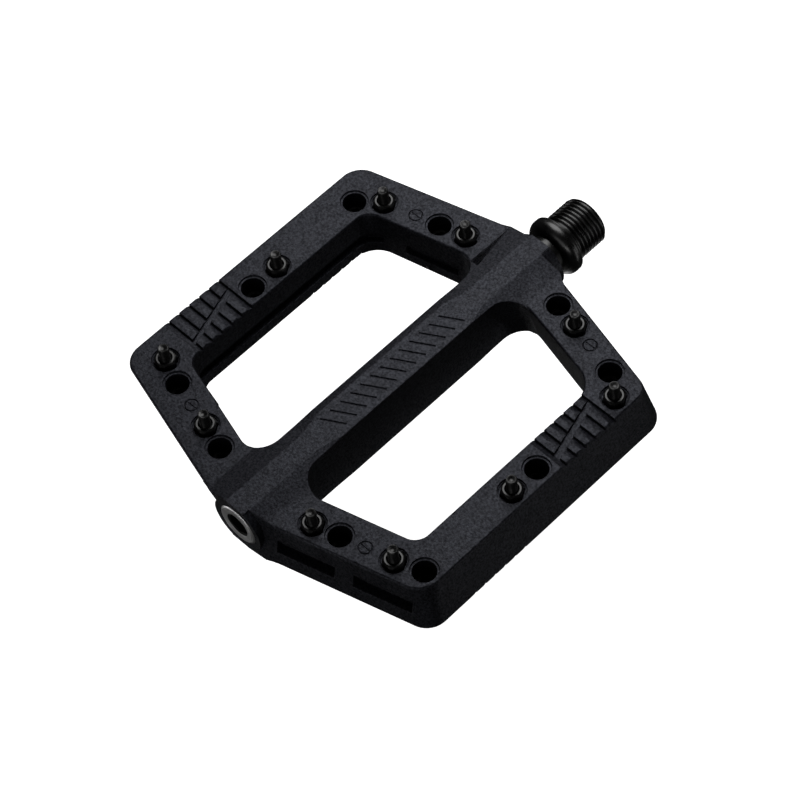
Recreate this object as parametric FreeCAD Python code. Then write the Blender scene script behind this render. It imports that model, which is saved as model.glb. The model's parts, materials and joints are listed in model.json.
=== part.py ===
import FreeCAD, Part

import math
import os

os.makedirs("parts", exist_ok=True)

# A flat platform pedal. Origin: on the axle's axis, at the shoulder that meets the crank.
# +Y runs along the axle towards the crank, +Z is up, and +X is forward on a right-hand pedal.
# The cage looks the same when it is turned half a turn about the axle, so only its +X half is
# drawn, and the -X half is that half turned over.

# Cage, thickness
RAIL_Z = 6.3  # half the thickness of the rails
SPINE_Z = 8.05  # half the thickness of the spine
TALL_Z = 9.0  # half the height of cutters and clipping shapes

# Cage, outline of the +X half. Each pair is (at the rails' top face, at their bottom face).
OUTER_X = (51.6, 55.8)
INBOARD_Y = (-9.0, -5.4)  # where the inboard edge would cross the axle
INBOARD_SLOPE = (-0.262, -0.272)
OUTBOARD_Y = (-118.4, -121.8)  # where the outboard edge would cross the axle
OUTBOARD_SLOPE = (0.273, 0.275)
INBOARD_CORNER_R = (4.6, 6.8)
OUTBOARD_CORNER_R = (7.1, 6.3)
HALF_OVERLAP = 1.0  # how far each half runs past the axle's plane
EDGE_ROUND = 0.6  # rounding of the cage's outer and window edges

# Cage, the +X window. Each pair is (at the rails' top face, at their bottom face).
WINDOW_OUTER_X = (40.25, 42.5)
WINDOW_INBOARD_Y = (-21.7, -19.4)
WINDOW_INBOARD_SLOPE = (-0.232, -0.255)
WINDOW_OUTBOARD_Y = (-105.5, -107.3)
WINDOW_OUTBOARD_SLOPE = (0.272, 0.285)
WINDOW_R_OUTER_INBOARD = (8.0, 4.4)
WINDOW_R_OUTER_OUTBOARD = (4.6, 4.0)
WINDOW_R_SPINE = (6.6, 6.5)
SPINE_WALL = ((SPINE_Z, 4.9), (-1.7, 5.4), (-7.5, 7.1))  # (z, x) down the window's spine side

# Cage, spine and end bosses
SPINE_BASE_X = 10.2  # where the ridge's flanks meet the rails' faces
SPINE_TUCK = 2.5  # how far the flanks run on inside the rails
SPINE_NARROW = 3.15  # half-width of the ridge's flat top near its ends
SPINE_WIDE = 4.8  # the same between the windows
SPINE_STEPS_Y = (-32.7, -38.5, -85.1, -91.9)  # narrow to wide, and wide to narrow
BOSS_R = 8.3
BOSS_LENGTH = 16.0
CAGE_IN_Y = -7.2  # inboard end of the bosses
RAILS_IN_Y = -8.1  # inboard end of the rails and flanks
CAGE_OUT_Y = -119.2  # outboard end of the cage
PAD_Y = -10.4  # a short straight pad in the inboard wall beside the boss, on top of the +X half
PAD_X = (9.9, 14.9)  # where the pad turns inwards, and where it ends inside the wall
PAD_SLOPE = -0.634

# Slots and grooves in the cage's walls
SLOT_HALF_HEIGHT = 1.95
OUTBOARD_SLOTS_X = ((12.0, 28.0), (33.2, 49.4))
OUTBOARD_SLOT_DEPTH = 2.2
INNER_SLOT_X = (14.3, 29.9)  # in the -X window's inboard wall
INNER_GROOVE_X = 36.9  # where the groove round the window's outer wall ends
INNER_GROOVE_Z = (0.3, 3.1)
INNER_GROOVE_DEPTH = 1.2

# Tread: rows of wedge-shaped cuts across the long rails, each with a steep riser at its inboard end
TREAD_DEPTH = 0.85
TREAD_RAMP = 1.8
TREAD_PITCH = 3.59
TREAD_ROWS = 5
TREAD_OVERRUN = 1.0
NARROW_TREAD_Y = -34.9  # the first riser on the narrower rail face, at the top of the +X rail
NARROW_BAND = ((42.4, 43.95), (47.3, 49.3))  # the sunk band's x range at the first and last riser
WIDE_TREAD_Y = -72.3  # the first riser on the wider rail face, at the top of the -X rail
WIDE_BAND = ((-51.9, -49.95), (-46.3, -45.2))

# Ornament: plain slanted grooves on the spine, and round mould marks on the rails
STROKE_COUNT = 13
STROKE_PITCH = 3.6
STROKE_FIRST_Y = -41.0
STROKE_HALF_LENGTH = 3.5
STROKE_LEAN = 30.0
STROKE_WIDTH = 0.5
STROKE_DEPTH = 0.35
MARK_PLACES = ((31.5, -22.3), (31.6, -104.5))
MARK_R = 1.95
MARK_LINE = 0.3
MARK_DEPTH = 0.25

# Traction pins, each a bolt that enters from the far face and a nut in the near face
NEAR_PIN_STATIONS = ((16.7, -18.4), (40.8, -24.9), (47.0, -58.9), (47.0, -99.3), (24.4, -106.3))
FAR_PIN_STATIONS = ((24.5, -20.4), (47.0, -30.0), (47.0, -67.9), (39.4, -102.3), (16.9, -108.5))
RIM_R = 3.8
RIM_DEPTH = 0.5
WELL_R = 3.45
WELL_FLOOR_Z = 5.4
HEAD_BORE_R = 3.15
HEAD_SEAT_Z = 1.6
BOLT_R = 1.5
BOLT_HOLE_R = 1.6
BOLT_TIP_Z = 11.6
BOLT_TIP_CHAMFER = 0.25
BOLT_HEAD_R = 2.75
BOLT_HEAD_HEIGHT = 3.0
BOLT_SOCKET_FLATS = 2.5
BOLT_SOCKET_DEPTH = 1.4
NUT_FLATS = 5.5
NUT_HEIGHT = 2.4
NUT_TOP_Z = 7.3
NUT_CHAMFER_R = 2.4
NUT_SINK = 0.45  # depth of the 45 degree countersink in the nut's face
NUT_CHAMFER_SLOPE = 30.0
POCKET_FLATS = 5.7

# Axle, as (y, radius) of its stations
THREAD_R = 7.144  # 9/16 in, plain here at the thread's major radius
THREAD_LENGTH = 11.0
THREAD_CHAMFER = 0.9
FLANGE_R = 8.68
FLANGE_THICK = 1.7
FLANGE_ROUND = 0.35
FLANGE_BACK = 2.8  # length of the flange's domed back
DOME_STEPS = 8  # straight steps that draw the domed back
NECK_R = 5.5
NECK_END_Y = -9.4
JOURNAL_R = 5.0
JOURNAL_END_Y = -21.8
SHANK_START_Y = -23.4
SHANK_START_R = 3.8
SHANK_END_R = 3.6
SEAT_R = 3.0
SEAT_START_Y = -104.0
AXLE_END_Y = -116.3
AXLE_END_CHAMFER = 0.4
HEX_FLATS = 8.0
HEX_DEPTH = 8.0

# Bores in the cage
SEAL_BORE_R = 6.9
SEAL_BORE_END_Y = -9.5
BUSH_BORE_R = 6.0
BUSH_BORE_END_Y = -22.4
CLEAR_BORE_R = 5.4
CLEAR_BORE_END_Y = -24.2
SHANK_BORE_R = 4.1
BEARING_BORE_START_Y = -103.9
CAP_BORE_R = 6.3
CAP_BORE_START_Y = -116.6
BORE_OVERRUN = 1.0  # how far each bore runs on into the next

# Seal, bush, bearings and fasteners on the axle
SEAL_INNER_R = 5.56
BUSH_INNER_R = 5.03
BUSH_LENGTH = 12.2
BEARING_WIDTH = 4.0
BEARING_OUTER_R = 6.0
BEARING_OUTER_RACE_R = 5.05
BEARING_INNER_RACE_R = 3.9
BALL_R = 0.8
BALL_COUNT = 9
BALL_CLEARANCE = 0.04
RETAINER_HALF_THICK = 0.22
RETAINER_HALF_WIDTH = 1.15
RETAINER_POCKET_R = 0.9
SHIELD_THICK = 0.3
SHIELD_GAP = 0.1
SPACER_WIDTH = 1.0
WASHER_THICK = 0.5
WASHER_R = 4.6
LOCK_NUT_FLATS = 9.0
LOCK_NUT_HEIGHT = 2.5
CAP_FACE_Y = -119.3
CAP_FACE_CHAMFER = 0.5
CAP_SOCKET_FLATS = 6.0
CAP_SOCKET_DEPTH = 1.9
CAP_MOUTH_R = 3.65
CAP_MOUTH_DEPTH = 0.35
O_RING_R = 0.45
O_RING_Y = -117.6

SLIVER = 0.02

PITCH_R = (BEARING_OUTER_RACE_R + BEARING_INNER_RACE_R) / 2
ALONG_Y = FreeCAD.Vector(0, 1, 0)
ALONG_Z = FreeCAD.Vector(0, 0, 1)
CENTRE = FreeCAD.Vector(0, 0, 0)


def at(x, y, z):
    return FreeCAD.Vector(x, y, z)


def turned_over(shape):
    """The shape turned half a turn about the axle."""
    copy = shape.copy()
    copy.rotate(CENTRE, ALONG_Y, 180)
    return copy


def by_height(pair, z):
    """A value at height z, from its values at the rails' top face and bottom face."""
    share = (RAIL_Z - z) / (2 * RAIL_Z)
    return pair[0] + (pair[1] - pair[0]) * share


def rounded_wire(corners, radii, z):
    """A closed wire at height z through corners, with a tangent arc where a radius isn't zero."""
    points = [at(x, y, z) for x, y in corners]
    count = len(points)
    ends = []
    for i, (corner, radius) in enumerate(zip(points, radii)):
        back = (points[i - 1] - corner).normalize()
        ahead = (points[(i + 1) % count] - corner).normalize()
        half_angle = back.getAngle(ahead) / 2
        reach = radius / math.tan(half_angle)
        inward = (back + ahead).normalize()
        middle = corner + inward * (radius / math.sin(half_angle) - radius)
        ends.append((corner + back * reach, middle, corner + ahead * reach))
    edges = []
    for i, (start, middle, end) in enumerate(ends):
        if radii[i] > 0:
            edges.append(Part.Arc(start, middle, end).toShape())
        edges.append(Part.makeLine(end, ends[(i + 1) % count][0]))
    return Part.Wire(edges)


def cylinder_y(radius, y_low, y_high):
    return Part.makeCylinder(radius, y_high - y_low, at(0, y_low, 0), ALONG_Y)


def ring_y(outer, inner, y_low, y_high):
    return cylinder_y(outer, y_low, y_high).cut(cylinder_y(inner, y_low, y_high))


def hexagon(flats, centre, normal, length):
    """A hexagonal prism that starts at centre and runs along normal."""
    prism_axis = FreeCAD.Vector(normal).normalize()
    side = at(1, 0, 0)
    across = prism_axis.cross(side)
    radius = flats / math.sqrt(3)
    points = []
    for i in range(7):
        angle = math.radians(60 * i)
        points.append(centre + side * (radius * math.cos(angle)) + across * (radius * math.sin(angle)))
    return Part.Face(Part.makePolygon(points)).extrude(prism_axis * length)


# ---------------------------------------------------------------- cage

def outline_half(z_top, z_bottom):
    """The +X half of the cage's outline as a solid between two heights, with its drafted walls."""
    wires = []
    for z in (z_top, z_bottom):
        outer = by_height(OUTER_X, z)
        inboard = by_height(INBOARD_Y, z)
        outboard = by_height(OUTBOARD_Y, z)
        in_slope = by_height(INBOARD_SLOPE, z)
        out_slope = by_height(OUTBOARD_SLOPE, z)
        corners = [
            (-HALF_OVERLAP, inboard - in_slope * HALF_OVERLAP),
            (outer, inboard + in_slope * outer),
            (outer, outboard + out_slope * outer),
            (-HALF_OVERLAP, outboard - out_slope * HALF_OVERLAP),
        ]
        radii = [0, by_height(INBOARD_CORNER_R, z), by_height(OUTBOARD_CORNER_R, z), 0]
        wires.append(rounded_wire(corners, radii, z))
    return Part.makeLoft(wires, True, True)


def spine_wall_x(z):
    """Distance from the axle of the +X window's spine side at height z."""
    upper, bend, lower = SPINE_WALL
    first, last = (upper, bend) if z > bend[0] else (bend, lower)
    return first[1] + (last[1] - first[1]) * (first[0] - z) / (first[0] - last[0])


def window_wire(z, grown=0.0):
    """The +X window's section at height z, grown on every side but the spine's."""
    inner = spine_wall_x(z)
    outer = by_height(WINDOW_OUTER_X, z) + grown
    inboard = by_height(WINDOW_INBOARD_Y, z) + grown
    outboard = by_height(WINDOW_OUTBOARD_Y, z) - grown
    in_slope = by_height(WINDOW_INBOARD_SLOPE, z)
    out_slope = by_height(WINDOW_OUTBOARD_SLOPE, z)
    corners = [
        (inner, inboard + in_slope * inner),
        (outer, inboard + in_slope * outer),
        (outer, outboard + out_slope * outer),
        (inner, outboard + out_slope * inner),
    ]
    radii = [
        by_height(WINDOW_R_SPINE, z),
        by_height(WINDOW_R_OUTER_INBOARD, z) + grown,
        by_height(WINDOW_R_OUTER_OUTBOARD, z) + grown,
        by_height(WINDOW_R_SPINE, z),
    ]
    return rounded_wire(corners, radii, z)


def window():
    """The +X window as a cutter that runs past both faces."""
    heights = (TALL_Z, SPINE_WALL[1][0], -TALL_Z)
    return Part.makeLoft([window_wire(z) for z in heights], True, True)


def spine():
    """The ridge along the axle on both faces, wider between the windows."""
    first, wide_from, wide_to, last = SPINE_STEPS_Y
    sections = [
        (CAGE_IN_Y, SPINE_NARROW),
        (first, SPINE_NARROW),
        (wide_from, SPINE_WIDE),
        (wide_to, SPINE_WIDE),
        (last, SPINE_NARROW),
        (CAGE_OUT_Y, SPINE_NARROW),
    ]
    wires = []
    base = SPINE_BASE_X + SPINE_TUCK
    for y, half in sections:
        fall = (SPINE_Z - RAIL_Z) / (SPINE_BASE_X - half)
        base_z = RAIL_Z - fall * SPINE_TUCK
        points = [
            at(-half, y, SPINE_Z),
            at(half, y, SPINE_Z),
            at(base, y, base_z),
            at(base, y, -base_z),
            at(half, y, -SPINE_Z),
            at(-half, y, -SPINE_Z),
            at(-base, y, -base_z),
            at(-base, y, base_z),
        ]
        wires.append(Part.makePolygon(points + points[:1]))
    return Part.makeLoft(wires, True, True)


def both_halves(shape):
    return shape.fuse(turned_over(shape))


def cage_blank():
    """Rails, spine, end bosses and windows, before the small features."""
    reach = OUTER_X[1] + HALF_OVERLAP
    rails = box_between((-reach, reach), (CAGE_OUT_Y, RAILS_IN_Y), (-RAIL_Z, RAIL_Z))
    keep = box_between((-reach, reach), (CAGE_OUT_Y, RAILS_IN_Y), (-SPINE_Z, SPINE_Z))
    plate = rails.fuse(spine().common(keep))
    blank = plate.common(both_halves(outline_half(TALL_Z, -TALL_Z)))
    opening = window()
    blank = blank.cut([opening, turned_over(opening)]).removeSplitter()
    blank = blank.makeFillet(EDGE_ROUND, wall_edges(blank))
    pad = inboard_pad().common(plate)
    return blank.fuse([pad, turned_over(pad)] + end_bosses()).removeSplitter()


def inboard_pad():
    """The pad beside the boss in the +X half's inboard wall, above mid height."""
    turn_x, end_x = PAD_X
    end_y = PAD_Y + PAD_SLOPE * (end_x - turn_x)
    root_y = PAD_Y - BOSS_R
    points = [(0, root_y), (0, PAD_Y), (turn_x, PAD_Y), (end_x, end_y), (turn_x, root_y)]
    corners = [at(x, y, 0) for x, y in points]
    return Part.Face(Part.makePolygon(corners + corners[:1])).extrude(ALONG_Z * TALL_Z)


def end_bosses():
    """The boss at each end of the spine: round, with the spine's flat top run out over it."""
    bosses = []
    for y_pair in ((CAGE_IN_Y - BOSS_LENGTH, CAGE_IN_Y), (CAGE_OUT_Y, CAGE_OUT_Y + BOSS_LENGTH)):
        crop = box_between((-BOSS_R, BOSS_R), y_pair, (-SPINE_Z, SPINE_Z))
        flat = box_between((-SPINE_NARROW, SPINE_NARROW), y_pair, (-SPINE_Z, SPINE_Z))
        bosses += [cylinder_y(BOSS_R, *y_pair).common(crop), flat]
    return bosses


def wall_edges(blank):
    """The edges where the cage's walls meet the rails' two faces."""
    found = []
    for edge in blank.Edges:
        box = edge.BoundBox
        flat = box.ZLength < SLIVER and abs(abs(box.ZMin) - RAIL_Z) < SLIVER
        on_flank = max(abs(abs(box.XMin) - SPINE_BASE_X), abs(abs(box.XMax) - SPINE_BASE_X)) < SLIVER
        if flat and not on_flank:
            found.append(edge)
    return found


def box_between(x_pair, y_pair, z_pair):
    size = [pair[1] - pair[0] for pair in (x_pair, y_pair, z_pair)]
    return Part.makeBox(*size, at(x_pair[0], y_pair[0], z_pair[0]))


def bar(start, end, width, z_low, z_high):
    """A straight upright bar of the given width between two points in plan."""
    along = at(end[0] - start[0], end[1] - start[1], 0)
    solid = Part.makeBox(along.Length, width, z_high - z_low, at(0, -width / 2, z_low))
    solid.rotate(CENTRE, ALONG_Z, math.degrees(math.atan2(along.y, along.x)))
    solid.translate(at(start[0], start[1], 0))
    return solid


def outboard_slots():
    """Two shallow slots in the outboard wall, on both halves."""
    slope = by_height(OUTBOARD_SLOPE, 0)
    wall = by_height(OUTBOARD_Y, 0)
    slots = []
    for x_low, x_high in OUTBOARD_SLOTS_X:
        wall_points = [(x, wall + slope * x) for x in (x_low, x_high)]
        width = 2 * OUTBOARD_SLOT_DEPTH
        slot = bar(wall_points[0], wall_points[1], width, -SLOT_HALF_HEIGHT, SLOT_HALF_HEIGHT)
        slots += [slot, turned_over(slot)]
    return slots


def window_grooves():
    """The groove round each window's outer wall, and the slot in the -X window's inboard wall."""
    z_low, z_high = INNER_GROOVE_Z
    section = Part.Face(window_wire(0, INNER_GROOVE_DEPTH))
    prism = section.extrude(ALONG_Z * (z_high - z_low))
    prism.translate(ALONG_Z * z_low)
    outer_x = by_height(WINDOW_OUTER_X, 0) + 2 * INNER_GROOVE_DEPTH
    middle_y = (CAGE_IN_Y + CAGE_OUT_Y) / 2
    groove = prism.common(box_between((INNER_GROOVE_X, outer_x), (CAGE_OUT_Y, CAGE_IN_Y), (0, RAIL_Z)))
    slot = prism.common(box_between(INNER_SLOT_X, (middle_y, CAGE_IN_Y), (0, RAIL_Z)))
    return [groove, turned_over(groove), turned_over(slot)]


def tread_cut(x_edges, riser_y):
    """A wedge cut across a top face: deepest at its riser, and running out outboard of it."""
    x_low, x_high = x_edges
    above = RAIL_Z + TREAD_DEPTH
    points = [
        at(x_low, riser_y, RAIL_Z - TREAD_DEPTH),
        at(x_low, riser_y - 2 * TREAD_RAMP, above),
        at(x_low, riser_y, above),
    ]
    section = Part.Face(Part.makePolygon(points + points[:1]))
    return section.extrude(at(x_high - x_low, 0, 0))


def tread_band(first_y, first_edges, last_edges):
    """The sunk band that slants through a tread, from its first riser to its last."""
    last_y = first_y - TREAD_PITCH * TREAD_ROWS
    floor = RAIL_Z - TREAD_DEPTH
    points = [
        at(first_edges[0], first_y, floor),
        at(first_edges[1], first_y, floor),
        at(last_edges[1], last_y, floor),
        at(last_edges[0], last_y, floor),
    ]
    outline = Part.Face(Part.makePolygon(points + points[:1]))
    return outline.extrude(ALONG_Z * TALL_Z)


def tread(first_y, x_edges, band):
    """A rail's tread: rows of wedge cuts with a slanting sunk band through them."""
    risers = [first_y - TREAD_PITCH * row for row in range(TREAD_ROWS + 1)]
    return [tread_cut(x_edges, riser_y) for riser_y in risers] + [tread_band(first_y, *band)]


def treads():
    narrow_edges = (WINDOW_OUTER_X[0] - TREAD_OVERRUN, OUTER_X[0] + TREAD_OVERRUN)
    wide_edges = (-OUTER_X[1] - TREAD_OVERRUN, -WINDOW_OUTER_X[1] + TREAD_OVERRUN)
    cuts = tread(NARROW_TREAD_Y, narrow_edges, NARROW_BAND) + tread(WIDE_TREAD_Y, wide_edges, WIDE_BAND)
    return cuts + [turned_over(cut) for cut in cuts]


def spine_strokes():
    """Plain slanted grooves, evenly spaced, on the spine's flat top and bottom."""
    lean = math.radians(STROKE_LEAN)
    reach = at(STROKE_HALF_LENGTH * math.cos(lean), STROKE_HALF_LENGTH * math.sin(lean), 0)
    strokes = []
    for i in range(STROKE_COUNT):
        middle = at(0, STROKE_FIRST_Y - STROKE_PITCH * i, 0)
        start = middle - reach
        end = middle + reach
        groove = bar((start.x, start.y), (end.x, end.y), STROKE_WIDTH, SPINE_Z - STROKE_DEPTH, TALL_Z)
        strokes += [groove, turned_over(groove)]
    return strokes


def mould_marks():
    """A shallow ring crossed by one line, on both faces of all four end rails."""
    marks = []
    for x, y in MARK_PLACES:
        for place_x in (x, -x):
            centre = at(place_x, y, RAIL_Z - MARK_DEPTH)
            disc = Part.makeCylinder(MARK_R, 2 * MARK_DEPTH, centre)
            ring = disc.cut(Part.makeCylinder(MARK_R - MARK_LINE, 2 * MARK_DEPTH, centre))
            ends = ((place_x - MARK_R, y), (place_x + MARK_R, y))
            line = bar(*ends, MARK_LINE, centre.z, RAIL_Z + MARK_DEPTH)
            mark = ring.fuse(line)
            marks += [mark, turned_over(mark)]
    return marks


def axle_bores():
    """The stepped bore along the spine, with the recesses for the seal, bush, bearings and cap."""
    return [
        cylinder_y(SEAL_BORE_R, SEAL_BORE_END_Y, CAGE_IN_Y + BORE_OVERRUN),
        cylinder_y(BUSH_BORE_R, BUSH_BORE_END_Y, SEAL_BORE_END_Y + BORE_OVERRUN),
        cylinder_y(CLEAR_BORE_R, CLEAR_BORE_END_Y, BUSH_BORE_END_Y + BORE_OVERRUN),
        cylinder_y(SHANK_BORE_R, BEARING_BORE_START_Y - BORE_OVERRUN, CLEAR_BORE_END_Y + BORE_OVERRUN),
        cylinder_y(BEARING_OUTER_R, CAP_BORE_START_Y - BORE_OVERRUN, BEARING_BORE_START_Y),
        cylinder_y(CAP_BORE_R, CAGE_OUT_Y - BORE_OVERRUN, CAP_BORE_START_Y),
    ]


def station_cut(x, y):
    """The hole for one pin on the top face: nut pocket above, bolt head's bore below."""
    nut_floor = NUT_TOP_Z - NUT_HEIGHT
    pocket = hexagon(POCKET_FLATS, at(x, y, nut_floor), ALONG_Z, TALL_Z - nut_floor)
    well = Part.makeCylinder(WELL_R, TALL_Z, at(x, y, WELL_FLOOR_Z))
    rim = Part.makeCylinder(RIM_R, TALL_Z, at(x, y, RAIL_Z - RIM_DEPTH))
    far_rim = Part.makeCylinder(RIM_R, TALL_Z, at(x, y, RIM_DEPTH - RAIL_Z - TALL_Z))
    head_bore = Part.makeCylinder(HEAD_BORE_R, HEAD_SEAT_Z + TALL_Z, at(x, y, -TALL_Z))
    shank_hole = Part.makeCylinder(BOLT_HOLE_R, 2 * TALL_Z, at(x, y, -TALL_Z))
    return pocket.fuse([well, rim, far_rim, head_bore, shank_hole])


def top_stations():
    """Plan positions of the pins that stand on the top face."""
    return [(-x, y) for x, y in NEAR_PIN_STATIONS] + [(x, y) for x, y in FAR_PIN_STATIONS]


def station_cuts():
    cuts = [station_cut(x, y) for x, y in top_stations()]
    return cuts + [turned_over(cut) for cut in cuts]


def cage_body():
    cutters = axle_bores() + station_cuts() + outboard_slots() + window_grooves()
    cutters += treads() + spine_strokes() + mould_marks()
    return cage_blank().cut(cutters)


# ---------------------------------------------------------------- traction pins

def pin_bolt(x, y):
    """A socket-head bolt whose threaded end stands out of the top face."""
    shank = Part.makeCylinder(BOLT_R, BOLT_TIP_Z - BOLT_TIP_CHAMFER - HEAD_SEAT_Z, at(x, y, HEAD_SEAT_Z))
    tip_start = at(x, y, BOLT_TIP_Z - BOLT_TIP_CHAMFER)
    tip = Part.makeCone(BOLT_R, BOLT_R - BOLT_TIP_CHAMFER, BOLT_TIP_CHAMFER, tip_start)
    head_bottom = at(x, y, HEAD_SEAT_Z - BOLT_HEAD_HEIGHT)
    head = Part.makeCylinder(BOLT_HEAD_R, BOLT_HEAD_HEIGHT, head_bottom)
    socket = hexagon(BOLT_SOCKET_FLATS, head_bottom, ALONG_Z, BOLT_SOCKET_DEPTH)
    return shank.fuse([tip, head]).cut(socket).removeSplitter()


def pin_nut(x, y):
    """A hex nut with its upper corners chamfered."""
    prism = hexagon(NUT_FLATS, at(x, y, NUT_TOP_Z - NUT_HEIGHT), ALONG_Z, NUT_HEIGHT)
    drop = NUT_HEIGHT
    spread = drop / math.tan(math.radians(NUT_CHAMFER_SLOPE))
    cone = Part.makeCone(NUT_CHAMFER_R + spread, NUT_CHAMFER_R, drop, at(x, y, NUT_TOP_Z - drop))
    hole = Part.makeCylinder(BOLT_R, NUT_HEIGHT, at(x, y, NUT_TOP_Z - NUT_HEIGHT))
    sink = Part.makeCone(BOLT_R, BOLT_R + NUT_SINK, NUT_SINK, at(x, y, NUT_TOP_Z - NUT_SINK))
    return prism.common(cone).cut([hole, sink])


def on_top(piece):
    return Part.makeCompound([piece(x, y) for x, y in top_stations()])


# ---------------------------------------------------------------- axle and what it carries

def turned_profile(points):
    """A solid turned about the axle's axis from (y, radius) points."""
    outline = [at(radius, y, 0) for y, radius in points]
    face = Part.Face(Part.makePolygon(outline + outline[:1]))
    return face.revolve(CENTRE, ALONG_Y, 360)


def axle():
    flange_start = -FLANGE_THICK
    dome_end = flange_start - FLANGE_BACK
    points = [
        (THREAD_LENGTH, 0),
        (THREAD_LENGTH, THREAD_R - THREAD_CHAMFER),
        (THREAD_LENGTH - THREAD_CHAMFER, THREAD_R),
        (0, THREAD_R),
        (0, FLANGE_R - FLANGE_ROUND),
        (-FLANGE_ROUND, FLANGE_R),
    ]
    for i in range(DOME_STEPS + 1):
        angle = math.radians(90 * i / DOME_STEPS)
        radius = NECK_R + (FLANGE_R - NECK_R) * math.cos(angle)
        points.append((flange_start + (dome_end - flange_start) * math.sin(angle), radius))
    points += [
        (NECK_END_Y, NECK_R),
        (NECK_END_Y, JOURNAL_R),
        (JOURNAL_END_Y, JOURNAL_R),
        (SHANK_START_Y, SHANK_START_R),
        (SEAT_START_Y, SHANK_END_R),
        (SEAT_START_Y, SEAT_R),
        (AXLE_END_Y + AXLE_END_CHAMFER, SEAT_R),
        (AXLE_END_Y, SEAT_R - AXLE_END_CHAMFER),
        (AXLE_END_Y, 0),
    ]
    socket = hexagon(HEX_FLATS, at(0, THREAD_LENGTH - HEX_DEPTH, 0), ALONG_Y, HEX_DEPTH)
    return turned_profile(points).cut(socket)


def inboard_seal():
    return ring_y(SEAL_BORE_R, SEAL_INNER_R, SEAL_BORE_END_Y, CAGE_IN_Y)


def inboard_bush():
    start = SEAL_BORE_END_Y - BUSH_LENGTH
    return ring_y(BUSH_BORE_R, BUSH_INNER_R, start, SEAL_BORE_END_Y)


def ball_track(y, radius):
    return Part.makeTorus(PITCH_R, radius, at(0, y, 0), ALONG_Y)


def ball_directions():
    angles = [2 * math.pi * i / BALL_COUNT for i in range(BALL_COUNT)]
    return [at(math.cos(angle), 0, math.sin(angle)) for angle in angles]


def bearing(prefix, y_low):
    """A cartridge bearing's pieces, by node name: races, balls, retainer and two shields."""
    y_high = y_low + BEARING_WIDTH
    middle = (y_low + y_high) / 2
    track = ball_track(middle, BALL_R + BALL_CLEARANCE)
    outer_race = ring_y(BEARING_OUTER_R, BEARING_OUTER_RACE_R, y_low, y_high).cut(track)
    inner_race = ring_y(BEARING_INNER_RACE_R, SEAT_R, y_low, y_high).cut(track)
    centre = at(0, middle, 0)
    balls = [Part.makeSphere(BALL_R, centre + outward * PITCH_R) for outward in ball_directions()]
    retainer = ring_y(
        PITCH_R + RETAINER_HALF_THICK,
        PITCH_R - RETAINER_HALF_THICK,
        middle - RETAINER_HALF_WIDTH,
        middle + RETAINER_HALF_WIDTH,
    )
    pockets = []
    for outward in ball_directions():
        pockets.append(Part.makeCylinder(RETAINER_POCKET_R, BEARING_OUTER_R, centre, outward))
    shield_inner = BEARING_INNER_RACE_R + SHIELD_GAP
    shields = [
        ring_y(BEARING_OUTER_RACE_R, shield_inner, y_low + SHIELD_GAP, y_low + SHIELD_GAP + SHIELD_THICK),
        ring_y(BEARING_OUTER_RACE_R, shield_inner, y_high - SHIELD_GAP - SHIELD_THICK, y_high - SHIELD_GAP),
    ]
    return {
        prefix + "_outer_race": outer_race,
        prefix + "_inner_race": inner_race,
        prefix + "_balls": Part.makeCompound(balls),
        prefix + "_retainer": retainer.cut(pockets),
        prefix + "_shields": Part.makeCompound(shields),
    }


def outboard_stack():
    """The two bearings and what clamps them on the axle, from the axle's shoulder outwards."""
    y = SEAT_START_Y - BEARING_WIDTH
    pieces = bearing("inner_bearing", y)
    pieces["bearing_spacer"] = ring_y(BEARING_INNER_RACE_R, SEAT_R, y - SPACER_WIDTH, y)
    y -= SPACER_WIDTH + BEARING_WIDTH
    pieces.update(bearing("outer_bearing", y))
    pieces["lock_washer"] = ring_y(WASHER_R, SEAT_R, y - WASHER_THICK, y)
    y -= WASHER_THICK + LOCK_NUT_HEIGHT
    nut = hexagon(LOCK_NUT_FLATS, at(0, y, 0), ALONG_Y, LOCK_NUT_HEIGHT)
    pieces["lock_nut"] = nut.cut(cylinder_y(SEAT_R, y, y + LOCK_NUT_HEIGHT))
    return pieces


def end_cap():
    """The cap screwed into the outboard end, with a hex socket in its face."""
    chamfer_y = CAP_FACE_Y + CAP_FACE_CHAMFER
    points = [
        (CAP_BORE_START_Y, 0),
        (CAP_BORE_START_Y, CAP_BORE_R),
        (chamfer_y, CAP_BORE_R),
        (CAP_FACE_Y, CAP_BORE_R - CAP_FACE_CHAMFER),
        (CAP_FACE_Y, 0),
    ]
    mouth = cylinder_y(CAP_MOUTH_R, CAP_FACE_Y, CAP_FACE_Y + CAP_MOUTH_DEPTH)
    socket = hexagon(CAP_SOCKET_FLATS, at(0, CAP_FACE_Y, 0), ALONG_Y, CAP_SOCKET_DEPTH)
    groove_y = (O_RING_Y - O_RING_R, O_RING_Y + O_RING_R)
    groove = ring_y(CAP_BORE_R + O_RING_R, CAP_BORE_R - 2 * O_RING_R, *groove_y)
    return turned_profile(points).cut([mouth, socket, groove])


def end_cap_o_ring():
    return Part.makeTorus(CAP_BORE_R - O_RING_R, O_RING_R, at(0, O_RING_Y, 0), ALONG_Y)


def pedal():
    """Every piece of the pedal, by node name."""
    top_bolts = on_top(pin_bolt)
    top_nuts = on_top(pin_nut)
    pieces = {
        "cage_body": cage_body(),
        "pin_bolts_top": top_bolts,
        "pin_bolts_bottom": turned_over(top_bolts),
        "pin_nuts_top": top_nuts,
        "pin_nuts_bottom": turned_over(top_nuts),
        "axle": axle(),
        "inboard_seal": inboard_seal(),
        "inboard_bush": inboard_bush(),
        "end_cap": end_cap(),
        "end_cap_o_ring": end_cap_o_ring(),
    }
    pieces.update(outboard_stack())
    return pieces


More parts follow.
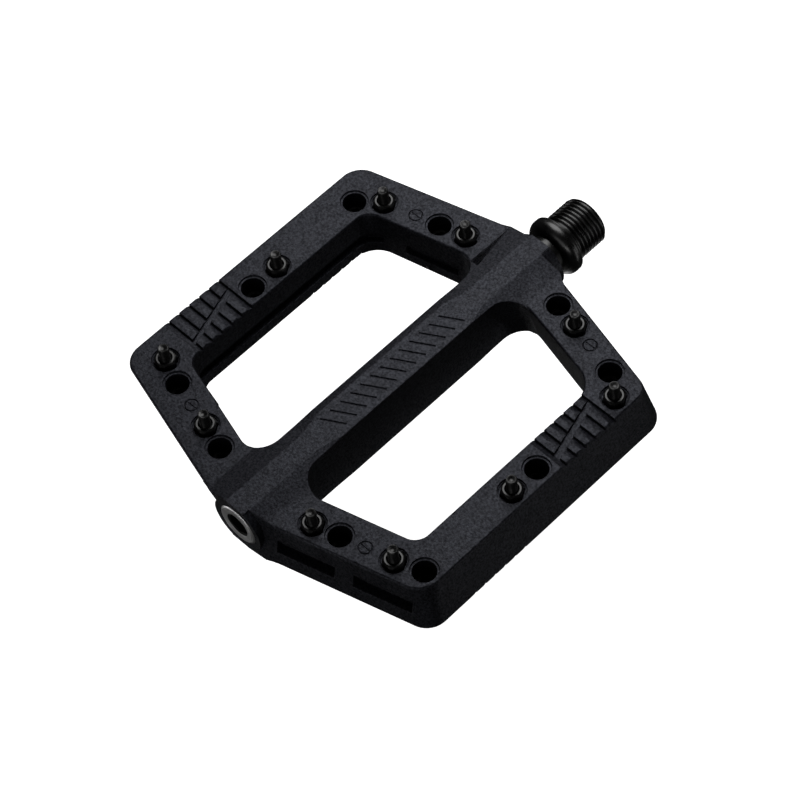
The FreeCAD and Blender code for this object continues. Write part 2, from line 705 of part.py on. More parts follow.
for name, shape in pedal().items():
    print(name, "valid" if shape.isValid() else "NOT VALID", len(shape.Solids), round(shape.Volume, 1))
    shape.exportStep("parts/%s.step" % name)
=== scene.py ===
import json
import math

import bmesh
import bpy
from mathutils import Matrix, Vector


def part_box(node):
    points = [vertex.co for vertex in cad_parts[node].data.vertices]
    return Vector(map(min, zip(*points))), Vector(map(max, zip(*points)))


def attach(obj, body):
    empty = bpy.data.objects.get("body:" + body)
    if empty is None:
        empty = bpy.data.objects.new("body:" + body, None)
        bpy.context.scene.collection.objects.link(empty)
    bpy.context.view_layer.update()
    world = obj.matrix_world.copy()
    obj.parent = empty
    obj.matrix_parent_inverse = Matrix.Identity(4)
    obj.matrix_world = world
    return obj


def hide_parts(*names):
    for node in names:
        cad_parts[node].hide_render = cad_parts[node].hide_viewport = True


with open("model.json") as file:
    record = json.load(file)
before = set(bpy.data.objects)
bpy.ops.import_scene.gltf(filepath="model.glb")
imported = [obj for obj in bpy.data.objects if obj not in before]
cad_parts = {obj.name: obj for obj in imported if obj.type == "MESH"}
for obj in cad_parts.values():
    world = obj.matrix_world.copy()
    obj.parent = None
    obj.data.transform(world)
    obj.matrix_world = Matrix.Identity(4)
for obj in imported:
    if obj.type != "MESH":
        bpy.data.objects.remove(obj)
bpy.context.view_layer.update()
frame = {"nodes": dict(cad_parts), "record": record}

MM = 0.001

# Camera: where it looks from in degrees, the point at the axle's height that it looks at, and its lens
VIEW_AZIMUTH = 50.03
VIEW_ELEVATION = 55.94
VIEW_ROLL = 6.54
VIEW_DISTANCE = 777.6 * MM
VIEW_TARGET = Vector((3.81, -64.62, 0.0)) * MM
LENS = 135.6
SENSOR = 36.0
CLIP_NEAR = 10 * MM
CLIP_FAR = 50.0


def grey(value, blue=1.0):
    """A grey colour, a little blue if asked."""
    return (value, value, value * blue, 1)


def direction(azimuth, elevation):
    """Unit vector towards a place round the object: azimuth 0 is -Y, 90 is +X."""
    a = math.radians(azimuth)
    e = math.radians(elevation)
    return Vector((math.sin(a) * math.cos(e), -math.cos(a) * math.cos(e), math.sin(e)))


def make_camera():
    """The scene's camera, which looks down on the pedal with a little roll."""
    back = direction(VIEW_AZIMUTH, VIEW_ELEVATION)
    level = Vector((-back.y, back.x, 0)).normalized()
    level_up = back.cross(level)
    roll = math.radians(VIEW_ROLL)
    right = level * math.cos(roll) - level_up * math.sin(roll)
    up = back.cross(right)
    data = bpy.data.cameras.new("camera")
    data.lens = LENS
    data.sensor_width = SENSOR
    data.clip_start = CLIP_NEAR
    data.clip_end = CLIP_FAR
    camera = bpy.data.objects.new("camera", data)
    bpy.context.scene.collection.objects.link(camera)
    place = VIEW_TARGET + back * VIEW_DISTANCE
    camera.matrix_world = Matrix.Translation(place) @ Matrix((right, up, back)).transposed().to_4x4()
    bpy.context.scene.camera = camera


# ---------------------------------------------------------------- studio

# Area lights round VIEW_TARGET, in degrees, metres and watts
LIGHTS = {
    "key": {"azimuth": 218.0, "elevation": 53.0, "distance": 0.36, "size": (0.27, 0.29), "power": 0.68},
    "side": {"azimuth": 112.0, "elevation": -8.0, "distance": 1.0, "size": (0.16, 0.8), "power": 0.5},
    "front": {"azimuth": 10.0, "elevation": 20.0, "distance": 1.2, "size": (0.8, 0.8), "power": 0.9},
    "low": {"azimuth": 350.0, "elevation": -2.0, "distance": 1.0, "size": (0.7, 0.09), "power": 0.85},
    "right": {"azimuth": 140.0, "elevation": -3.0, "distance": 1.1, "size": (0.5, 0.4), "power": 0.8},
    "left": {"azimuth": 315.0, "elevation": -18.0, "distance": 1.1, "size": (0.5, 0.4), "power": 1.3},
    "across": {"azimuth": 45.0, "elevation": 12.0, "distance": 1.1, "size": (0.5, 0.4), "power": 1.1},
    "below": {"azimuth": 250.0, "elevation": -80.0, "distance": 0.5, "size": (0.16, 0.16), "power": 0.14},
}
DIRECT_LIGHTS = ("key", "front")  # all the others are seen only in reflections
CAP_LIGHT = {"azimuth": 310.0, "elevation": -56.0, "distance": 0.5, "cone": 3.2, "radius": 0.12, "power": 1.0}
CAP_LIGHT_BLEND = 0.3
WORLD = 0.022
SWING = 62 * MM  # how far below the axle's axis the floor lies, clear of the turning cage
BACKDROP_R = 4.0  # within reach of a camera near the object
FLOOR_SIDES = 64
BACKDROP_SIDES = 48
STAGE_WHITE = 0.9


def hang_light(name, data, target, azimuth, elevation, distance):
    """A light that faces its target from a distance, unseen by the camera."""
    light = bpy.data.objects.new(name, data)
    bpy.context.scene.collection.objects.link(light)
    towards = direction(azimuth, elevation)
    light.location = target + towards * distance
    light.rotation_mode = "QUATERNION"
    light.rotation_quaternion = towards.to_track_quat("Z", "Y")
    light.visible_diffuse = name in DIRECT_LIGHTS
    light.visible_camera = False


def area_light(name, size, power, **place):
    """A soft rectangular light that faces the pedal."""
    data = bpy.data.lights.new(name, "AREA")
    data.shape = "RECTANGLE"
    data.size, data.size_y = size
    data.energy = power
    hang_light(name, data, VIEW_TARGET, **place)


def cap_light(cone, radius, power, **place):
    """A narrow spot for the end cap's face."""
    data = bpy.data.lights.new("cap_light", "SPOT")
    data.spot_size = math.radians(cone)
    data.spot_blend = CAP_LIGHT_BLEND
    data.shadow_soft_size = radius
    data.energy = power
    hang_light("cap_light", data, Vector((0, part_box("end_cap")[0].y, 0)), **place)


def white_stage(name, bm, material):
    """A pale floor or backdrop that only the camera sees."""
    mesh = bpy.data.meshes.new(name)
    bm.to_mesh(mesh)
    bm.free()
    mesh.materials.append(material)
    stage = bpy.data.objects.new(name, mesh)
    bpy.context.scene.collection.objects.link(stage)
    for flag in ("visible_diffuse", "visible_glossy", "visible_transmission", "visible_shadow"):
        setattr(stage, flag, False)


def make_studio():
    """A dim world, the lights, and a white floor and backdrop."""
    world = bpy.data.worlds.new("studio")
    world.use_nodes = True
    background = world.node_tree.nodes["Background"]
    background.inputs["Color"].default_value = (1, 1, 1, 1)
    background.inputs["Strength"].default_value = WORLD
    bpy.context.scene.world = world
    for name, light in LIGHTS.items():
        area_light(name, **light)
    cap_light(**CAP_LIGHT)
    material = bpy.data.materials.new("studio_white")
    material.use_nodes = True
    shader = material.node_tree.nodes["Principled BSDF"]
    shader.inputs["Base Color"].default_value = grey(STAGE_WHITE)
    shader.inputs["Emission Color"].default_value = (1, 1, 1, 1)
    shader.inputs["Emission Strength"].default_value = 1.0
    bm = bmesh.new()
    bmesh.ops.create_circle(bm, cap_ends=True, segments=FLOOR_SIDES, radius=BACKDROP_R)
    bmesh.ops.translate(bm, verts=bm.verts, vec=(0, 0, -SWING))
    white_stage("floor", bm, material)
    bm = bmesh.new()
    bmesh.ops.create_uvsphere(
        bm, u_segments=BACKDROP_SIDES, v_segments=BACKDROP_SIDES // 2, radius=BACKDROP_R
    )
    bmesh.ops.reverse_faces(bm, faces=bm.faces)
    white_stage("backdrop", bm, material)


make_camera()
make_studio()
bpy.context.scene.view_settings.view_transform = "Standard"


# ---------------------------------------------------------------- materials

class Nodes:
    """A material's node tree, with short ways to add and link nodes."""

    def __init__(self, name):
        self.material = bpy.data.materials.new(name)
        self.material.use_nodes = True
        self.tree = self.material.node_tree
        self.shader = self.tree.nodes["Principled BSDF"]
        self.place = self.add("ShaderNodeTexCoord").outputs["Object"]

    def add(self, kind, links=None, **settings):
        node = self.tree.nodes.new(kind)
        for key, value in settings.items():
            setattr(node, key, value)
        for key, value in (links or {}).items():
            self.put(node.inputs[key], value)
        return node

    def put(self, socket, value):
        if isinstance(value, bpy.types.NodeSocket):
            self.tree.links.new(value, socket)
        else:
            socket.default_value = value

    def noise(self, size, detail=2.0, rough=0.5, place=None):
        """Noise whose features are about size metres across."""
        links = {"Vector": place or self.place, "Scale": 1 / size, "Detail": detail, "Roughness": rough}
        return self.add("ShaderNodeTexNoise", links).outputs["Fac"]

    def spread(self, value, low, high, start=0.3, end=0.7):
        """A value between start and end spread out between low and high."""
        links = {"Value": value, "From Min": start, "From Max": end, "To Min": low, "To Max": high}
        return self.add("ShaderNodeMapRange", links).outputs["Result"]

    def mix(self, factor, low, high):
        node = self.add("ShaderNodeMix", data_type="RGBA")
        for socket, value in ((0, factor), (6, low), (7, high)):
            self.put(node.inputs[socket], value)
        return node.outputs[2]

    def cloudy(self, clouds, low, high):
        """A colour that goes from low to high with the clouds."""
        return self.mix(self.spread(clouds, 0, 1), low, high)

    def maths(self, operation, *values):
        node = self.add("ShaderNodeMath", operation=operation)
        for i, value in enumerate(values):
            self.put(node.inputs[i], value)
        return node.outputs[0]

    def bump(self, height, distance, strength=1.0, under=None):
        links = {"Height": height, "Distance": distance, "Strength": strength}
        if under:
            links["Normal"] = under
        return self.add("ShaderNodeBump", links).outputs["Normal"]

    def along_and_out(self):
        """The place as (distance from the axle's axis, place along it, 0), for turned pieces."""
        parts = self.add("ShaderNodeSeparateXYZ", {"Vector": self.place}).outputs
        squares = self.maths("ADD", self.maths("MULTIPLY", parts["X"], parts["X"]),
                             self.maths("MULTIPLY", parts["Z"], parts["Z"]))
        out = self.maths("SQRT", squares)
        return self.add("ShaderNodeCombineXYZ", {"X": out, "Y": parts["Y"]}).outputs["Vector"]

    def finish(self, colour, roughness, normal, metallic=0.0, **sockets):
        self.put(self.shader.inputs["Base Color"], colour)
        self.put(self.shader.inputs["Roughness"], roughness)
        self.put(self.shader.inputs["Normal"], normal)
        self.put(self.shader.inputs["Metallic"], metallic)
        for key, value in sockets.items():
            self.put(self.shader.inputs[key.replace("_", " ")], value)
        return self.material


# Base colours, each a pair that the material wanders between
NYLON_DARK = (grey(0.0055, 1.3), grey(0.0075, 1.35))
NYLON_LIGHT = (grey(0.011, 1.3), grey(0.0145, 1.35))
NYLON_TINT = ((0.8, 0.84, 1.0, 1), (0.84, 0.87, 1.0, 1))
OXIDE = (grey(0.03), grey(0.06))
OXIDE_WORN = (grey(0.03), grey(0.11))
# Painted shade: near-black for the pins' sunk heads
PIN_HEAD_PAINTED_SHADE = grey(0.006)
ANODISED = (grey(0.5), grey(0.6))
# Painted shade: near-black for the inside of the cap's socket
CAP_SOCKET_PAINTED_SHADE = grey(0.012)
BRASS = ((0.58, 0.40, 0.15, 1), (0.74, 0.54, 0.24, 1))
RUBBER = (grey(0.008), grey(0.014))
BUSH = ((0.09, 0.085, 0.07, 1), (0.14, 0.135, 0.115, 1))

# Where a pin's tip is worn bare, and where painted shade darkens a pin's sunk head and the cap's socket
PIN_TIP_Z = (11.25 * MM, 11.45 * MM)
PIN_HEAD_Z = (4.4 * MM, 4.8 * MM)
CAP_SOCKET_R = (3.55 * MM, 3.7 * MM)
DARK_ROUGHER = 0.3  # how much rougher a part darkened by painted shade is


def cage_material():
    """Moulded glass-filled nylon: a fine matt grain, a little cloudy, slightly blue."""
    n = Nodes("cage_nylon")
    grain = n.noise(0.55 * MM, detail=3.0, rough=0.65)
    fine = n.noise(0.22 * MM, detail=2.0, rough=0.5)
    clouds = n.noise(5 * MM, detail=4.0, rough=0.6)
    speckle = n.spread(n.noise(0.6 * MM, detail=3.0, rough=0.7), 0, 1, start=0.36, end=0.64)
    colour = n.mix(speckle, n.cloudy(clouds, *NYLON_DARK), n.cloudy(clouds, *NYLON_LIGHT))
    both = n.maths("ADD", n.maths("MULTIPLY", clouds, 0.6), n.maths("MULTIPLY", fine, 0.4))
    roughness = n.spread(both, 0.36, 0.46)
    tint = n.cloudy(clouds, *NYLON_TINT)
    normal = n.bump(grain, 0.11 * MM, strength=1.0, under=n.bump(fine, 0.03 * MM, strength=0.8))
    sheen = n.spread(speckle, 0.12, 0.46, start=0.0, end=1.0)
    return n.finish(colour, roughness, normal, Specular_IOR_Level=sheen, Specular_Tint=tint)


def black_steel(name, base, rough, turned):
    """Black plated or oxidised steel, a little uneven, with faint tool marks where it is turned."""
    n = Nodes(name)
    clouds = n.noise(2.5 * MM, detail=4.0, rough=0.6)
    marks = n.noise(0.12 * MM, detail=2.0, rough=0.6, place=n.along_and_out() if turned else None)
    colour = n.cloudy(clouds, grey(base * 0.8), grey(base * 1.25))
    roughness = n.spread(clouds, rough * 0.85, rough * 1.3)
    return n.finish(colour, roughness, n.bump(marks, 0.004 * MM, strength=0.5), metallic=1.0)


def bright_steel(name, base, rough, turned):
    """Ground or polished steel, with fine marks round the axle's axis where it is turned."""
    n = Nodes(name)
    marks = n.noise(0.09 * MM, detail=3.0, rough=0.6, place=n.along_and_out() if turned else None)
    clouds = n.noise(1.8 * MM, detail=3.0, rough=0.5)
    colour = n.cloudy(clouds, grey(base * 0.86), grey(base))
    roughness = n.spread(marks, rough * 0.7, rough * 1.4)
    return n.finish(colour, roughness, n.bump(marks, 0.003 * MM, strength=0.6), metallic=1.0)


def pin_material():
    """Black oxide that has rubbed off the tip's flat end, and painted shade that darkens the bolt's sunk
    head.
    """
    n = Nodes("pin_black_oxide")
    height = n.add("ShaderNodeSeparateXYZ", {"Vector": n.place}).outputs["Z"]
    level = n.maths("ABSOLUTE", height)
    tip = n.spread(level, 0, 1, *PIN_TIP_Z)
    # Painted shade: this mask darkens the bolt's head, sunk in its hole
    head_shade_mask = n.spread(level, 1, 0, *PIN_HEAD_Z)
    patches = n.noise(0.7 * MM, detail=4.0, rough=0.65)
    shown = n.mix(tip, n.cloudy(patches, *OXIDE), n.cloudy(patches, *OXIDE_WORN))
    colour = n.mix(head_shade_mask, shown, PIN_HEAD_PAINTED_SHADE)
    roughness = n.maths("ADD", n.spread(patches, 0.26, 0.4), n.maths("MULTIPLY", head_shade_mask, DARK_ROUGHER))
    normal = n.bump(n.noise(0.1 * MM, detail=3.0), 0.004 * MM, strength=0.6)
    return n.finish(colour, roughness, normal, metallic=1.0)


def cap_material():
    """Grey anodised aluminium with turning marks in rings, and painted shade that darkens the socket."""
    n = Nodes("cap_anodised")
    rings = n.noise(0.16 * MM, detail=3.0, rough=0.6, place=n.along_and_out())
    clouds = n.noise(3 * MM, detail=3.0, rough=0.5)
    out = n.add("ShaderNodeSeparateXYZ", {"Vector": n.along_and_out()}).outputs["X"]
    # Painted shade: this mask darkens the socket inside CAP_SOCKET_R
    socket = n.spread(out, 1, 0, *CAP_SOCKET_R)
    colour = n.mix(socket, n.cloudy(clouds, *ANODISED), CAP_SOCKET_PAINTED_SHADE)
    roughness = n.maths("ADD", n.spread(rings, 0.34, 0.5), n.maths("MULTIPLY", socket, DARK_ROUGHER))
    return n.finish(colour, roughness, n.bump(rings, 0.006 * MM, strength=0.7), metallic=1.0)


def polymer(name, colours, rough):
    """Rubber or plastic with a faint grain, a little cloudy."""
    n = Nodes(name)
    clouds = n.noise(1.2 * MM, detail=4.0, rough=0.6)
    colour = n.cloudy(clouds, *colours)
    normal = n.bump(n.noise(0.2 * MM, detail=3.0), 0.01 * MM, strength=0.6)
    return n.finish(colour, n.spread(clouds, rough, rough + 0.15), normal)


def brass_material():
    """Drawn brass with soft patches of tarnish."""
    n = Nodes("retainer_brass")
    clouds = n.noise(1.0 * MM, detail=4.0, rough=0.6)
    colour = n.cloudy(clouds, *BRASS)
    normal = n.bump(n.noise(0.12 * MM, detail=3.0), 0.004 * MM, strength=0.6)
    return n.finish(colour, n.spread(clouds, 0.22, 0.4), normal, metallic=1.0)


MATERIALS = {
    "cage_composite": cage_material(),
    "pin_steel": pin_material(),
    "nut_steel": black_steel("nut_black_oxide", base=0.06, rough=0.3, turned=False),
    "axle_steel": black_steel("axle_black_plating", base=0.07, rough=0.28, turned=True),
    "cap_aluminium": cap_material(),
    "seal_rubber": polymer("seal_rubber_black", RUBBER, rough=0.5),
    "bush_polymer": polymer("bush_liner", BUSH, rough=0.4),
    "race_steel": bright_steel("race_ground_steel", base=0.58, rough=0.26, turned=True),
    "ball_steel": bright_steel("ball_polished_steel", base=0.72, rough=0.08, turned=False),
    "retainer_brass": brass_material(),
}

for part in frame["record"]["subparts"]:
    node = frame["nodes"][part["node"]]
    for slot in node.material_slots:
        slot.material = MATERIALS[part["material_slot"]]


# ---------------------------------------------------------------- pieces

WELD = 0.001 * MM  # points closer than this are one
ORDER_DIGITS = 4  # of a metre, when solids are put in order


def shape_of(node):
    """A node's CAD mesh as a welded bmesh, in metres."""
    bm = bmesh.new()
    bm.from_mesh(frame["nodes"][node].data)
    bmesh.ops.remove_doubles(bm, verts=bm.verts, dist=WELD)
    return bm


def islands(bm):
    """The (lowest, highest) corners of each separate solid."""
    left = set(bm.verts)
    boxes = []
    while left:
        stack = [left.pop()]
        low = stack[0].co.copy()
        high = low.copy()
        while stack:
            vert = stack.pop()
            low = Vector(map(min, low, vert.co))
            high = Vector(map(max, high, vert.co))
            for edge in vert.link_edges:
                other = edge.other_vert(vert)
                if other in left:
                    left.remove(other)
                    stack.append(other)
        boxes.append((low, high))
    return sorted(boxes, key=lambda box: (round(box[0].x, ORDER_DIGITS), round(box[0].y, ORDER_DIGITS)))


def add_piece(name, bm, node, body, slot, sharp, soft=None):
    """An object from a bmesh that stands for a CAD node, with edges over sharp degrees kept sharp.

    soft, if given, says of an edge's middle whether it stays smooth whatever its angle.
    """
    limit = math.radians(sharp)
    bmesh.ops.recalc_face_normals(bm, faces=bm.faces)
    for face in bm.faces:
        face.smooth = True
    for edge in bm.edges:
        middle = (edge.verts[0].co + edge.verts[1].co) / 2
        edge.smooth = edge.calc_face_angle(0.0) < limit or bool(soft and soft(middle))
    mesh = bpy.data.meshes.new(name)
    bm.to_mesh(mesh)
    bm.free()
    mesh.materials.append(MATERIALS[slot])
    piece = bpy.data.objects.new(name, mesh)
    bpy.context.scene.collection.objects.link(piece)
    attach(piece, body)
    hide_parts(node)
    return piece


def hexagon(flats):
    """Radius of a hexagon by its width over flats, as a function of the angle, with a corner at angle 0."""
    step = math.pi / 3
    return lambda angle: flats / 2 / math.cos(angle % step - step / 2)


def moved(profile, height):
    """A profile of (height, radius) rings moved along its axis."""
    return [(height + rise, radius) for rise, radius in profile]


def add_rings(bm, rings, sides, place):
    """Closed skin through rings of (height, radius or radius function), in mm; radius 0 is a point."""
    rows = []
    for height, radius in rings:
        if radius == 0:
            rows.append([bm.verts.new(place @ Vector((0, 0, height * MM)))])
            continue
        row = []
        for i in range(sides):
            angle = 2 * math.pi * i / sides
            r = radius(angle) if callable(radius) else radius
            point = Vector((r * math.cos(angle), r * math.sin(angle), height))
            row.append(bm.verts.new(place @ (point * MM)))
        rows.append(row)
    for first, second in zip(rows, rows[1:]):
        for i in range(sides):
            j = (i + 1) % sides
            if len(first) == 1:
                bm.faces.new((first[0], second[j], second[i]))
            elif len(second) == 1:
                bm.faces.new((first[i], first[j], second[0]))
            else:
                bm.faces.new((first[i], first[j], second[j], second[i]))
    return rows


def close_rings(bm, rows, sides):
    """Joins the last ring to the first, for a ring-shaped piece."""
    for i in range(sides):
        j = (i + 1) % sides
        bm.faces.new((rows[-1][i], rows[-1][j], rows[0][j], rows[0][i]))


def arc(centre, radii, start, end, steps):
    """Points (height, radius) round part of an ellipse, with angles in degrees from the height axis."""
    points = []
    for i in range(steps + 1):
        a = math.radians(start + (end - start) * i / steps)
        points.append((centre[0] + radii[0] * math.cos(a), centre[1] + radii[1] * math.sin(a)))
    return points


CREST_SHARE = 0.14  # the flat crest's share of half a thread
FLANK_SHARE = 0.62  # the flank's share; the rest is the flat root
ROUNDING = 0.35  # how much the flank eases into crest and root


def thread_depth(phase):
    """How far the surface is below the crest, as a share of the thread's depth."""
    t = abs((phase % 1.0) - 0.5) * 2
    ramp = min(max((t - CREST_SHARE) / FLANK_SHARE, 0.0), 1.0)
    smooth = ramp * ramp * (3 - 2 * ramp)
    return smooth * ROUNDING + ramp * (1 - ROUNDING)


def thread_cut(height, angle, start, fade, pitch, deep):
    """How deep a thread is cut at a place, when it fades in above its start."""
    share = min(max((height - start) / fade, 0.0), 1.0)
    return deep * thread_depth(height / pitch - angle / (2 * math.pi)) * share


# Along the axle's axis: local height is +Y, local angle 0 is +Z and turns towards +X
ALONG_AXLE = Matrix(((0, 1, 0, 0), (0, 0, 1, 0), (1, 0, 0, 0), (0, 0, 0, 1)))

# Sizes and profiles below are in mm, and a profile's rings are (height, radius)
THREAD_R = 7.144
THREAD_START = 0.25
THREAD_END = 11.0
THREAD_CUT = {"start": THREAD_START, "fade": 0.9, "pitch": 1.27, "deep": 0.74}
THREAD_CHAMFER = 0.9
THREAD_STEPS = 22  # rings to each turn of the thread
THREAD_TOP_GAP = 0.02
RIM_STEP = 0.12  # between the axle's end face and its chamfer
AXLE_SIDES = 160
AXLE_SOCKET = hexagon(8.0)
AXLE_SOCKET_PROFILE = [(2.2, 0), (3.0, AXLE_SOCKET), (10.45, AXLE_SOCKET), (10.98, 4.78), (11.0, 4.9)]
RELIEF_PROFILE = [(0.2, 7.144), (0.06, 7.2), (0.0, 7.35)]
FLANGE_PROFILE = [
    (0.0, 8.12), (-0.05, 8.3), (-0.18, 8.5), (-0.34, 8.61), (-0.52, 8.66), (-0.7, 8.62), (-0.82, 8.52),
    (-0.92, 8.52), (-1.04, 8.62), (-1.22, 8.67), (-1.45, 8.68),
]
FLANGE_BACK = {"centre": (-1.7, 5.5), "radii": (-2.8, 3.18), "start": 90, "end": 0, "steps": 14}
SHAFT_PROFILE = [
    (-4.5, 5.56), (-4.62, 5.5), (-9.3, 5.5), (-9.4, 5.4), (-9.4, 5.08), (-9.5, 5.0),
    (-21.7, 5.0), (-21.8, 4.96), (-23.3, 3.84), (-23.5, 3.8), (-40.0, 3.75), (-60.0, 3.7),
    (-80.0, 3.66), (-103.9, 3.6), (-104.0, 3.5), (-104.0, 3.06), (-104.1, 3.0), (-113.5, 3.0),
]
AXLE_END_PROFILE = [(0.4, 3.0), (0.0, 2.6), (0.0, 0.8), (0.7, 0)]  # from the axle's far end
SMOOTH_Y = (-4.4, 10.95)  # every edge between these and outside SMOOTH_R is smooth
SMOOTH_R = 6.0


def axle_thread_radius(height):
    """The axle's radius in its thread, as a function of the angle."""
    chamfer = THREAD_R - THREAD_CHAMFER + (THREAD_END - height)
    return lambda angle: min(THREAD_R - thread_cut(height, angle, **THREAD_CUT), chamfer)


def is_on_thread(place):
    """Whether a place is on the axle's thread or flange."""
    return SMOOTH_Y[0] * MM < place.y < SMOOTH_Y[1] * MM and math.hypot(place.x, place.z) > SMOOTH_R * MM


def make_axle():
    """The axle with its thread, grooved flange and hex socket."""
    end_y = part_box("axle")[0].y / MM
    rings = AXLE_SOCKET_PROFILE + [(THREAD_END, THREAD_R - THREAD_CHAMFER - RIM_STEP)]
    count = round((THREAD_END - THREAD_START) / THREAD_CUT["pitch"] * THREAD_STEPS)
    top = THREAD_END - THREAD_TOP_GAP
    for i in range(count):
        height = top - (top - THREAD_START) * i / count
        rings.append((height, axle_thread_radius(height)))
    rings += RELIEF_PROFILE + FLANGE_PROFILE + arc(**FLANGE_BACK)[:-1]
    rings += SHAFT_PROFILE + moved(AXLE_END_PROFILE, end_y)
    bm = bmesh.new()
    add_rings(bm, rings, AXLE_SIDES, ALONG_AXLE)
    add_piece("axle_threaded", bm, "axle", "axle", "axle_steel", sharp=32.0, soft=is_on_thread)


BOLT_R = 1.5
BOLT_PITCH = 0.5
BOLT_DEEP = 0.26
BOLT_FADE = 0.5
BOLT_CHAMFER = 0.25
BOLT_STEPS = 8  # rings to each turn of the thread
BOLT_HEAD = 3.0  # the head's height
BOLT_PLAIN = 3.4  # the shank's length without thread
BOLT_SIDES = 30
BOLT_SOCKET = hexagon(2.5)
BOLT_HEAD_PROFILE = [
    (1.7, 0), (1.4, BOLT_SOCKET), (0.15, BOLT_SOCKET), (0.0, 1.56),
    (0.0, 2.4), (0.08, 2.58), (0.3, 2.75),
]
BOLT_SEAT_PROFILE = [
    (-0.15, 2.75), (-0.02, 2.66), (0.0, 2.5), (0.0, 1.62), (0.1, 1.52), (BOLT_PLAIN, BOLT_R),
]
BOLT_TIP_PROFILE = [
    (-0.06, BOLT_R - 0.22), (0.0, BOLT_R - 0.34), (-0.02, 1.02), (-0.3, 0.6), (-0.34, 0),
]


def bolt_thread_radius(height, start, tip):
    """A bolt's radius in its thread, as a function of the angle."""
    chamfer = BOLT_R - BOLT_CHAMFER + (tip - height)
    return lambda angle: min(
        BOLT_R - thread_cut(height, angle, start, BOLT_FADE, BOLT_PITCH, BOLT_DEEP), chamfer
    )


def bolt_rings(head, tip):
    """A socket-head bolt from its head (lowest) to its threaded tip (highest)."""
    seat = head + BOLT_HEAD
    start = seat + BOLT_PLAIN
    rings = moved(BOLT_HEAD_PROFILE, head) + moved(BOLT_SEAT_PROFILE, seat)
    count = round((tip - start) / BOLT_PITCH * BOLT_STEPS)
    for i in range(1, count):
        height = start + (tip - start) * i / count
        rings.append((height, bolt_thread_radius(height, start, tip)))
    return rings + moved(BOLT_TIP_PROFILE, tip)


NUT_SIDES = 48
NUT_HEX = hexagon(5.5)
NUT_FACE_R = 2.4  # where the chamfer meets the face
NUT_CHAMFER_ANGLE = 30.0
NUT_RISES = (0.0, 0.06, 0.14, 0.24, 0.36)  # rings that follow the chamfer
NUT_BORE = BOLT_R + 0.01
NUT_TOP_PROFILE = [(0.0, 1.98), (-0.05, 1.93), (-0.46, NUT_BORE)]
NUT_FOOT_PROFILE = [(0.3, NUT_BORE), (0.0, 1.8)]


def nut_rings(foot, top):
    """A hex nut: outer skin upwards, then the hole downwards."""
    def outer(height):
        rise = max(min(top - height, height - foot), 0.0)
        cone = NUT_FACE_R + rise / math.tan(math.radians(NUT_CHAMFER_ANGLE))
        return lambda angle: min(NUT_HEX(angle), cone)
    heights = [foot + rise for rise in NUT_RISES] + [top - rise for rise in reversed(NUT_RISES)]
    rings = [(height, outer(height)) for height in heights]
    return rings + moved(NUT_TOP_PROFILE, top) + moved(NUT_FOOT_PROFILE, foot)


def pin_places(node, turn):
    """Each bolt's or nut's lowest and highest level in mm, and its place, when turn brings its tip to +Z."""
    bm = shape_of(node)
    places = []
    for corners in islands(bm):
        a, b = (turn @ corner for corner in corners)
        middle = (a + b) / 2
        place = turn.inverted() @ Matrix.Translation((middle.x, middle.y, 0))
        places.append((min(a.z, b.z) / MM, max(a.z, b.z) / MM, place))
    bm.free()
    return places


def make_pins(side, turn):
    """The ten bolts and nuts of one side; turn brings that side's tips to +Z."""
    bolts = bmesh.new()
    for head, tip, place in pin_places("pin_bolts_" + side, turn):
        add_rings(bolts, bolt_rings(head, tip), BOLT_SIDES, place)
    name = "pin_bolts_" + side
    add_piece(name + "_threaded", bolts, name, "cage", "pin_steel", sharp=34.0)
    nuts = bmesh.new()
    for foot, top, place in pin_places("pin_nuts_" + side, turn):
        rows = add_rings(nuts, nut_rings(foot, top), NUT_SIDES, place)
        close_rings(nuts, rows, NUT_SIDES)
    name = "pin_nuts_" + side
    add_piece(name + "_chamfered", nuts, name, "cage", "nut_steel", sharp=25.0)


EASE = 0.13  # size of the eased edges
EASE_SEGMENTS = 2
EASED_OVER = 30.0  # degrees between the faces of an eased edge
SPINE_EASED_OVER = 8.0
SPINE_EDGE_Z = 8.0
FACING_UP = 0.7
FLAT_WITHIN = 0.8  # degrees between faces that count as one flat
FULL_WEIGHT = 100


def is_eased(edge):
    """Steep edges, and the edges between the spine's flat and its flanks."""
    angle = math.degrees(edge.calc_face_angle(0.0))
    on_spine = all(abs(vert.co.z) > SPINE_EDGE_Z * MM for vert in edge.verts)
    facing_up = all(abs(face.normal.z) > FACING_UP for face in edge.link_faces)
    return angle > EASED_OVER or (angle > SPINE_EASED_OVER and on_spine and facing_up)


def make_cage():
    """The moulding with its sharp edges eased, as they come from the mould."""
    bm = shape_of("cage_body")
    low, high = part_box("cage_body")
    bmesh.ops.dissolve_limit(bm, angle_limit=math.radians(FLAT_WITHIN), verts=bm.verts, edges=bm.edges)
    edges = [edge for edge in bm.edges if is_eased(edge)]
    bmesh.ops.bevel(
        bm, geom=edges, offset=EASE * MM, segments=EASE_SEGMENTS, profile=0.5, affect="EDGES",
        clamp_overlap=False,
    )
    for vert in bm.verts:
        vert.co = Vector(map(max, low, map(min, high, vert.co)))
    piece = add_piece("cage_moulded", bm, "cage_body", "cage", "cage_composite", sharp=50.0)
    flats = piece.modifiers.new("flats_lead", "WEIGHTED_NORMAL")
    flats.keep_sharp = True
    flats.weight = FULL_WEIGHT


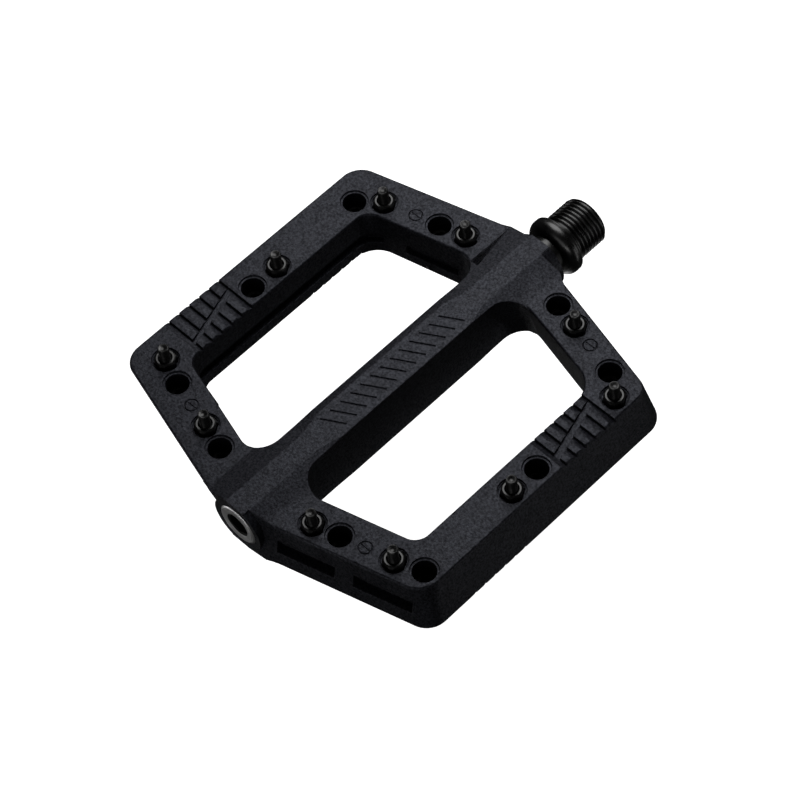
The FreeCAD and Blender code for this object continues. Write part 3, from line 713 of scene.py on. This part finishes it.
TURNED_SIDES = 96
CAP_SOCKET = hexagon(6.0)
CAP_FACE_PROFILE = [
    (2.2, 0), (1.9, CAP_SOCKET), (0.45, CAP_SOCKET), (0.32, 3.5), (0.12, 3.6), (0.02, 3.72), (0.0, 3.85),
    (0.0, 5.15), (0.07, 5.2), (0.07, 5.3), (0.0, 5.35), (0.0, 5.72), (0.05, 5.86), (0.38, 6.2),
    (0.5, 6.29), (1.2, 6.3), (1.25, 5.4), (2.15, 5.4), (2.2, 6.3),
]
CAP_BACK_PROFILE = [(-0.1, 6.3), (0.0, 6.2), (0.0, 0)]


def make_cap():
    """The end cap with its hex socket, ringed face and O-ring groove."""
    low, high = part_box("end_cap")
    rings = moved(CAP_FACE_PROFILE, low.y / MM) + moved(CAP_BACK_PROFILE, high.y / MM)
    bm = bmesh.new()
    add_rings(bm, rings, TURNED_SIDES, ALONG_AXLE)
    add_piece("end_cap_turned", bm, "end_cap", "cage", "cap_aluminium", sharp=30.0)


SEAL_INNER_PROFILE = [(0.0, 5.6), (0.0, 6.88)]
SEAL_LIP_PROFILE = [
    (-0.2, 6.9), (-0.05, 6.82), (0.0, 6.7), (0.0, 6.4), (-0.1, 6.3), (-0.7, 6.2), (-0.78, 6.1),
    (-0.7, 6.0), (-0.12, 5.78), (-0.02, 5.7), (-0.05, 5.6), (-0.3, 5.56),
]
SEAL_BORE_PROFILE = [(0.6, 5.56)]


def make_seal():
    """The inboard seal with its lip round the axle's neck."""
    low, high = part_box("inboard_seal")
    inner_y = low.y / MM
    rings = moved(SEAL_INNER_PROFILE, inner_y) + moved(SEAL_LIP_PROFILE, high.y / MM)
    rings += moved(SEAL_BORE_PROFILE, inner_y)
    bm = bmesh.new()
    rows = add_rings(bm, rings, TURNED_SIDES, ALONG_AXLE)
    close_rings(bm, rows, TURNED_SIDES)
    add_piece("inboard_seal_lipped", bm, "inboard_seal", "cage", "seal_rubber", sharp=40.0)


make_axle()
make_cage()
make_pins("top", Matrix.Identity(4))
make_pins("bottom", Matrix.Rotation(math.pi, 4, "Y"))
make_cap()
make_seal()
